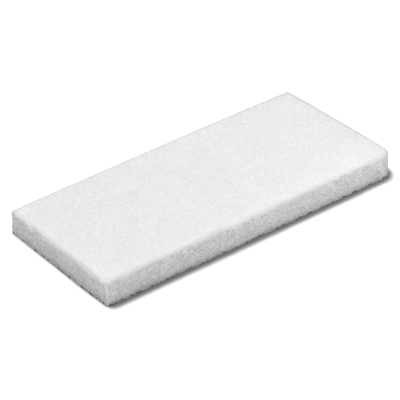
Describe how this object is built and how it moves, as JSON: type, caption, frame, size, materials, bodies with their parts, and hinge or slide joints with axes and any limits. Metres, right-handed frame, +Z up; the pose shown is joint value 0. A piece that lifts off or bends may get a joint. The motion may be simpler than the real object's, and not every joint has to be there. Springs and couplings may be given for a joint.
{
  "type": "abrasive hand pad",
  "caption": "Flat rectangular hand pad of white nonwoven abrasive fibre web, with softly rounded upper edges and rough cut sides, lying on its face.",
  "frame": {"origin": "middle of the pad's length and width, on the resting face", "axes": "+X along the pad's length, towards the slightly wider end; +Y across it; +Z up through its thickness"},
  "size_m": [0.2568, 0.1124, 0.02],
  "materials": {
    "fibre_web": "matte white nonwoven polyester web, bonded with resin"
  },
  "bodies": {
    "root": {"pad": "fibre_web"}
  },
  "joints": []
}
